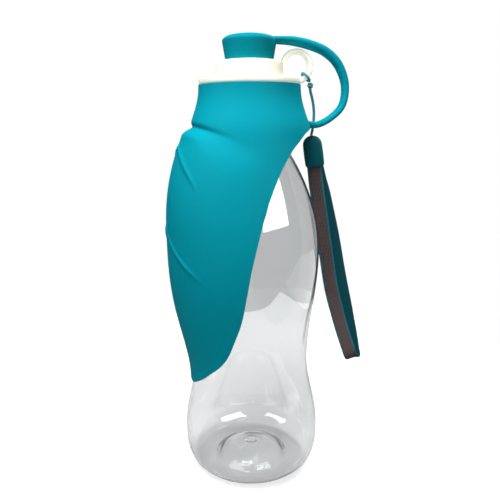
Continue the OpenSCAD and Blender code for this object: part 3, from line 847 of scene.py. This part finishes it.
def screw_cap():
    body = turned("cap_body", rounded([
        (22.2, 233.4, 0), (22.2, 213.6, 0.5), (26.1, 213.6, 0.6), (26.1, 233.4, 0.3), (28.4, 233.4, 0.5),
        (28.4, 236.6, 1.1), (18.8, 236.6, 0.5), (18.8, 245.6, 1.3), (16.0, 245.6, 0.2), (15.7, 246.0, 0.2),
        (10.0, 246.0, 0.4), (10.0, 254.0, 0.9), (7.0, 254.0, 0.6), (7.0, 243.2, 0.3), (16.4, 243.2, 0.6),
        (16.4, 233.4, 0.3), (22.2, 233.4, 0)]), 160)
    eyelet = turned("cap_eyelet", rounded([
        (EYELET_HOLE, 0, 0), (EYELET_HOLE, -1.5, 0.7), (EYELET_RIM, -1.5, 0.8), (EYELET_RIM, 1.5, 0.8),
        (EYELET_HOLE, 1.5, 0.7), (EYELET_HOLE, 0, 0)]), 96, axis=(0, 1, 0), centre=EYELET_AT)
    take(body)
    union = body.modifiers.new("eyelet", "BOOLEAN")
    union.operation = "UNION"
    union.solver = "EXACT"
    # The part of the eyelet inside the tier is cut off first
    bore = turned("tier_space", rounded([(0, 236.9, 0), (17.6, 236.9, 0), (17.6, 252, 0), (0, 252, 0)]), 96)
    modifier(eyelet, "BOOLEAN", operation="DIFFERENCE", solver="EXACT", object=bore)
    bpy.data.objects.remove(bore)
    take(body)
    union.object = eyelet
    bpy.ops.object.modifier_apply(modifier=union.name)
    bpy.data.objects.remove(eyelet)
    ridge = thread("cap_thread", 22.7, 20.3, 224.6)
    whole = joined([body, ridge], "white_screw_cap")
    smooth(whole, 40)
    return finish(whole, cap_plastic(), "cap", ["screw_cap"])


screw_cap()
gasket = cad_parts["cap_gasket"]
gasket.data.materials.clear()
gasket.data.materials.append(gasket_rubber())


# ---- silicone sleeve ----

def crease_depth(angle):
    """How deep the groove at the crease is, from the midrib round to the cuts."""
    return 1 - smoothstep((abs(angle) - 15) / 55)


def groove(away, angle):
    """The groove's depth in mm, by the height away from the crease."""
    return 1.45 * crease_depth(angle) * math.exp(-(away / 1.8) ** 2)


def split_level(b):
    """Where the wings' grid meets the collar's, on the strap's side."""
    return 199.0 + 23.0 * (1 - b / 90)


def sleeve_collar():
    columns = 240
    rows = 44

    def level(column, row):
        a = 360 * column / columns
        b = abs(a - 360 if a > 180 else a)
        low = split_level(b) if b < 90 else crease_at(180 - b)
        return a, b, mix(low, COLLAR_TOP, (row / rows) ** 1.5), low

    def place(column, row):
        a, b, z, low = level(column, row)
        r = skin_r(z)
        if b > 90:
            r -= groove(z - low, 180 - b)
        return polar(r, a, z)

    collar = grid("collar", columns, rows, place)
    wing_rows = 14

    def wing_place(column, row):
        a = -90 + 180 * column / 120
        z = mix(wing_edge(a), split_level(abs(a)), row / wing_rows)
        return polar(skin_r(z), a, z)

    wings = grid("wings", 120, wing_rows, wing_place)
    whole = joined([collar, wings], "sleeve_collar_and_wings")
    edit(whole, lambda: weld(2e-6))

    def free(x, y, z):
        a = abs(math.degrees(math.atan2(y, x)))
        return a < 89.95 and z < wing_edge(a) + 0.05 or z > COLLAR_TOP - 0.05

    shell(whole, free)
    return finish(whole, SILICONE, "cap", ["sleeve_collar"])


def shell(piece, free, wall=None):
    """Gives a sheet its thickness inwards, and rounds its free edges. free(x, y, z) says, in mm, whether a
    boundary point is on a free edge; wall(x, y, z) is the share of the full thickness there."""
    take(piece)
    mesh = piece.data
    outward = sum(1 if Vector(p.normal).dot(Vector((p.center.x, p.center.y, 0))) > 0 else -1
                  for p in mesh.polygons)
    if outward < 0:
        edit(piece, lambda: bpy.ops.mesh.flip_normals())
    edge = piece.vertex_groups.new(name="free_edge")
    thick = piece.vertex_groups.new(name="wall")
    for vertex in mesh.vertices:
        at = vertex.co / MM
        if free(*at):
            edge.add([vertex.index], 1.0, "REPLACE")
        thick.add([vertex.index], wall(*at) if wall else 1.0, "REPLACE")
    modifier(piece, "SOLIDIFY", thickness=SLEEVE_WALL * MM, offset=-1.0, use_even_offset=False, use_rim=True,
             vertex_group="wall", thickness_vertex_group=0.0)
    bend_edges(piece, edge.index)


# The silicone's cut edges: what counts as sharp, and how far in they are rounded
SHARP_EDGE = math.radians(50)
EDGE_ROUNDING = 0.62 * MM


def bend_edges(piece, group):
    """Bevels the sharp edges whose points are in the vertex group."""
    mesh = piece.data
    work = bmesh.new()
    work.from_mesh(mesh)
    layer = work.verts.layers.deform.active
    sharp = [e for e in work.edges if len(e.link_faces) == 2 and e.calc_face_angle(0) > SHARP_EDGE
             and all(group in v[layer] for v in e.verts)]
    bmesh.ops.bevel(work, geom=sharp, offset=EDGE_ROUNDING, offset_type="OFFSET", segments=4, profile=0.5,
                    affect="EDGES", clamp_overlap=True)
    work.to_mesh(mesh)
    work.free()
    piece.vertex_groups.clear()
    smooth(piece, 42)


SILICONE = silicone("teal_silicone")
LEAF_SILICONE = silicone("teal_silicone_leaf", veined=True)

sleeve_collar()


def vein_height(angle, z):
    """How far the veins stand out of the leaf, in mm."""
    total = 0
    for top, slope, curve, reach in VEINS:
        off = (z - (top - angle * slope - angle * angle * curve)) * VEIN_SLANT
        total += (0.6 * math.exp(-(off / 1.15) ** 2)
                  * (1 - smoothstep((angle - reach * 0.55) / (reach * 0.45))))
    return total


def leaf():
    columns = 220
    levels = [TIP_Z + mix(0.5, math.sqrt(CREASE_Z - 8 - TIP_Z), i / 165) ** 2 for i in range(165)]
    levels += [mix(CREASE_Z - 8, CREASE_Z, (i / 28) ** 0.8) for i in range(29)]
    rows = len(levels) - 1

    def place(column, row):
        z0 = levels[row]
        half = min(leaf_half_angle(z0), 90)
        a = half * (2 * column / columns - 1)
        tilt = CREASE_DROP * ease(min(max((z0 - BULGE_Z) / (CREASE_Z - BULGE_Z), 0), 1))
        z = z0 - tilt * (1 - cosd(a))
        r = leaf_r(z, a)
        below = crease_at(a) - z
        if below < 28:
            sunk = skin_r(z) - groove(below, a)
            rise = 1 - math.exp(-(below / (2.2 + 6.5 * (1 - crease_depth(a)))) ** 1.8)
            r = mix(sunk, r, rise) + 0.3 * crease_depth(a) * math.exp(-((below - 4.2) / 2.0) ** 2)
        r += vein_height(abs(a), z)
        return polar(r, 180 + a, z)

    piece = grid("leaf_sheet", columns, rows, place)
    piece.name = "bowl_leaf"

    # The leaf's sides are cut below the ends of the collar's wings
    wings_end = 172.4

    def free(x, y, z):
        a = abs(math.degrees(math.atan2(y, -x)))
        return z < wings_end and a > leaf_half_angle(z) - 0.2 or z < TIP_Z + 0.4

    def wall(x, y, z):
        return mix(TIP_WALL / SLEEVE_WALL, 1.0, min((z - TIP_Z) / 40, 1))

    shell(piece, free, wall)
    finish(piece, LEAF_SILICONE, None, ["leaf_blade"])
    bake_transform(piece)
    return piece


leaf()


# ---- stopper and strap ----

STRAP_ROUTE = [(7.0, 257.9), (15.4, 257.5), (25, 257.3), (35.5, 255.5), (45.5, 251.8), (53.4, 244.7),
               (57.8, 233.8), (56.5, 222.7), (49.9, 215.6), (41.3, 211.4), (33.4, 211.8)]


def stopper_and_strap():
    """The stopper's dome runs on into the strap, as one skin. The strap's foot stands in the collar."""
    plug = turned("stopper_body", rounded([
        (0, 248.7, 0), (6.7, 248.7, 0.8), (6.7, 254.3, 0.2), (10.3, 254.3, 0.2), (10.3, 246.15, 0.2),
        (13.4, 246.15, 0.2), (15.25, 257.0, 0.9), (13.2, 258.7, 1.0), (9.0, 259.65, 3.0), (4.0, 260.0, 3.0),
        (0, 260.0, 0)], 5), 128)
    # The first stretch of the route lies inside the stopper
    first = 14
    line = spline([(x, 0, z) for x, z in STRAP_ROUTE], first)
    count = len(line) - 1
    sides = 24

    def section(i, k):
        t = max((i - first) / (count - first), 0)
        foot = smoothstep((t - 0.9) / 0.1)
        width = mix(12.6, 7.0, ease(min(t * 2.6, 1))) + 4.0 * foot ** 2
        thick = 3.8 + 1.5 * sind(180 * min(t / 0.6, 1)) + 0.6 * foot
        if i < first:
            thick *= 0.6 + 0.4 * i / first
        a = math.tau * (k + 0.5) / sides
        c, s = math.cos(a), math.sin(a)
        return (width / 2 * math.copysign(abs(c) ** 0.85, c), thick / 2 * math.copysign(abs(s) ** 0.85, s))

    strap = swept("strap_arch", line, section, lambda i: (0, 1, 0), sides)
    whole = joined([plug, strap], "stopper_and_strap")
    modifier(whole, "REMESH", mode="VOXEL", voxel_size=0.26 * MM)
    joint = whole.vertex_groups.new(name="joint")
    for vertex in whole.data.vertices:
        x, _, z = vertex.co / MM
        near = smoothstep((z - 253.4) / 1.6) * smoothstep((x - 3) / 5) * (1 - smoothstep((x - 19) / 5))
        joint.add([vertex.index], max(near, 0.02), "REPLACE")
    modifier(whole, "SMOOTH", factor=0.9, iterations=26, vertex_group="joint")
    modifier(whole, "SMOOTH", factor=0.5, iterations=2)
    band = whole.vertex_groups.new(name="strap")
    for vertex in whole.data.vertices:
        band.add([vertex.index], smoothstep((vertex.co.x / MM - 16) / 6), "REPLACE")
    modifier(whole, "SMOOTH", factor=0.6, iterations=14, vertex_group="strap")
    whole.vertex_groups.clear()
    take(whole)
    bpy.ops.object.shade_smooth()
    finish(whole, silicone("teal_silicone_strap", strap=True), None, ["stopper", "strap"])
    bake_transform(whole)
    return whole


stopper_and_strap()


# ---- studio ----

def lit_for(tree, camera, through, others):
    """A strength by kind of ray: seen straight, seen through clear plastic, or met by light."""
    path = tree.nodes.new("ShaderNodeLightPath")
    total = None
    for output, share in (("Is Camera Ray", camera - others), ("Is Transmission Ray", through - others)):
        step = tree.nodes.new("ShaderNodeMath")
        step.operation = "MULTIPLY_ADD"
        tree.links.new(path.outputs[output], step.inputs[0])
        step.inputs[1].default_value = share
        if total:
            tree.links.new(total, step.inputs[2])
        else:
            step.inputs[2].default_value = others
        total = step.outputs[0]
    return total


def stage():
    """A small pale table in front of a grey room, which shows white where the camera sees it straight."""
    deselect()
    bpy.ops.mesh.primitive_circle_add(vertices=360, radius=TABLE_R, fill_type="NGON")
    table = bpy.context.object
    table.name = "studio_table"
    for vertex in table.data.vertices:
        beyond = math.degrees(math.atan2(vertex.co.y, vertex.co.x)) - TABLE_HEADING
        if TABLE_EDGE[0][0] < beyond < TABLE_EDGE[-1][0]:
            vertex.co *= through(TABLE_EDGE, beyond) / TABLE_R
    material = bpy.data.materials.new("pale_table")
    material.use_nodes = True
    tree = material.node_tree
    shader = tree.nodes["Principled BSDF"]
    tree.links.new(lit_for(tree, 0.62, 0.62, 0.45), shader.inputs["Base Color"])
    shader.inputs["Roughness"].default_value = 0.9
    shader.inputs["Specular IOR Level"].default_value = 0.1
    shader.inputs["Emission Strength"].default_value = 1.0
    tree.links.new(lit_for(tree, 0.6, 0.25, 0.0), shader.inputs["Emission Color"])
    table.data.materials.append(material)

    world = bpy.data.worlds.new("studio")
    scene.world = world
    world.use_nodes = True
    tree = world.node_tree
    shaded_back = tree.nodes["Background"]
    shaded_back.inputs["Color"].default_value = (1, 1, 1, 1)
    tree.links.new(lit_for(tree, 1.0, 0.61, 0.1), shaded_back.inputs["Strength"])


def softbox(name, azimuth, elevation, distance, size, power, look=(0, 0, 0.17), rays="all"):
    """A soft lamp, by the direction that it stands in seen from the bottle. It acts on all rays, on
    "diffuse" light only, on reflections and what clear plastic lets through ("gloss"), or on reflections
    only ("mirror")."""
    look = Vector(look)
    at = look + distance * Vector((cosd(azimuth) * cosd(elevation), sind(azimuth) * cosd(elevation),
                                   sind(elevation)))
    bpy.ops.object.light_add(type="AREA", location=at)
    lamp = bpy.context.object
    lamp.name = name
    lamp.data.shape = "RECTANGLE"
    lamp.data.size, lamp.data.size_y = size
    lamp.data.energy = power
    lamp.rotation_euler = (look - at).to_track_quat("-Z", "Y").to_euler()
    lamp.visible_camera = False
    lamp.visible_diffuse = rays in ("all", "diffuse")
    lamp.visible_glossy = rays in ("all", "gloss", "mirror")
    lamp.visible_transmission = rays in ("all", "gloss")


TABLE_R = 0.30
TABLE_HEADING = 90 + math.degrees(HEADING)
# The edge that is seen through the bottle: degrees past the camera's heading, and metres from the middle
TABLE_EDGE = [(-30, 0.30), (-18, 0.30), (-11.9, 0.31), (-8.6, 0.334), (-6.6, 0.345), (-5.6, 0.306),
              (-2.9, 0.28), (0, 0.272), (10, 0.272), (30, 0.30)]
stage()
softbox("key_softbox", -132, 58, 0.5, (0.28, 0.28), 2.75)
softbox("top_softbox", -100, 80, 0.5, (0.35, 0.3), 1.0)
softbox("fill_softbox", -58, 28, 0.6, (0.5, 0.42), 0.34)
softbox("rim_softbox", 30, 35, 0.5, (0.25, 0.25), 2.4, rays="diffuse")
softbox("gloss_softbox", -60, 28, 0.6, (0.52, 0.4), 7.0, rays="gloss")
softbox("left_gloss", -160, 28, 0.6, (0.5, 0.42), 6.0, rays="gloss")
softbox("floor_glow", 0, -90, 0.498, (0.55, 0.5), 0.9, look=(0.5, 0, 0.5), rays="mirror")

scene.view_settings.view_transform = "Standard"
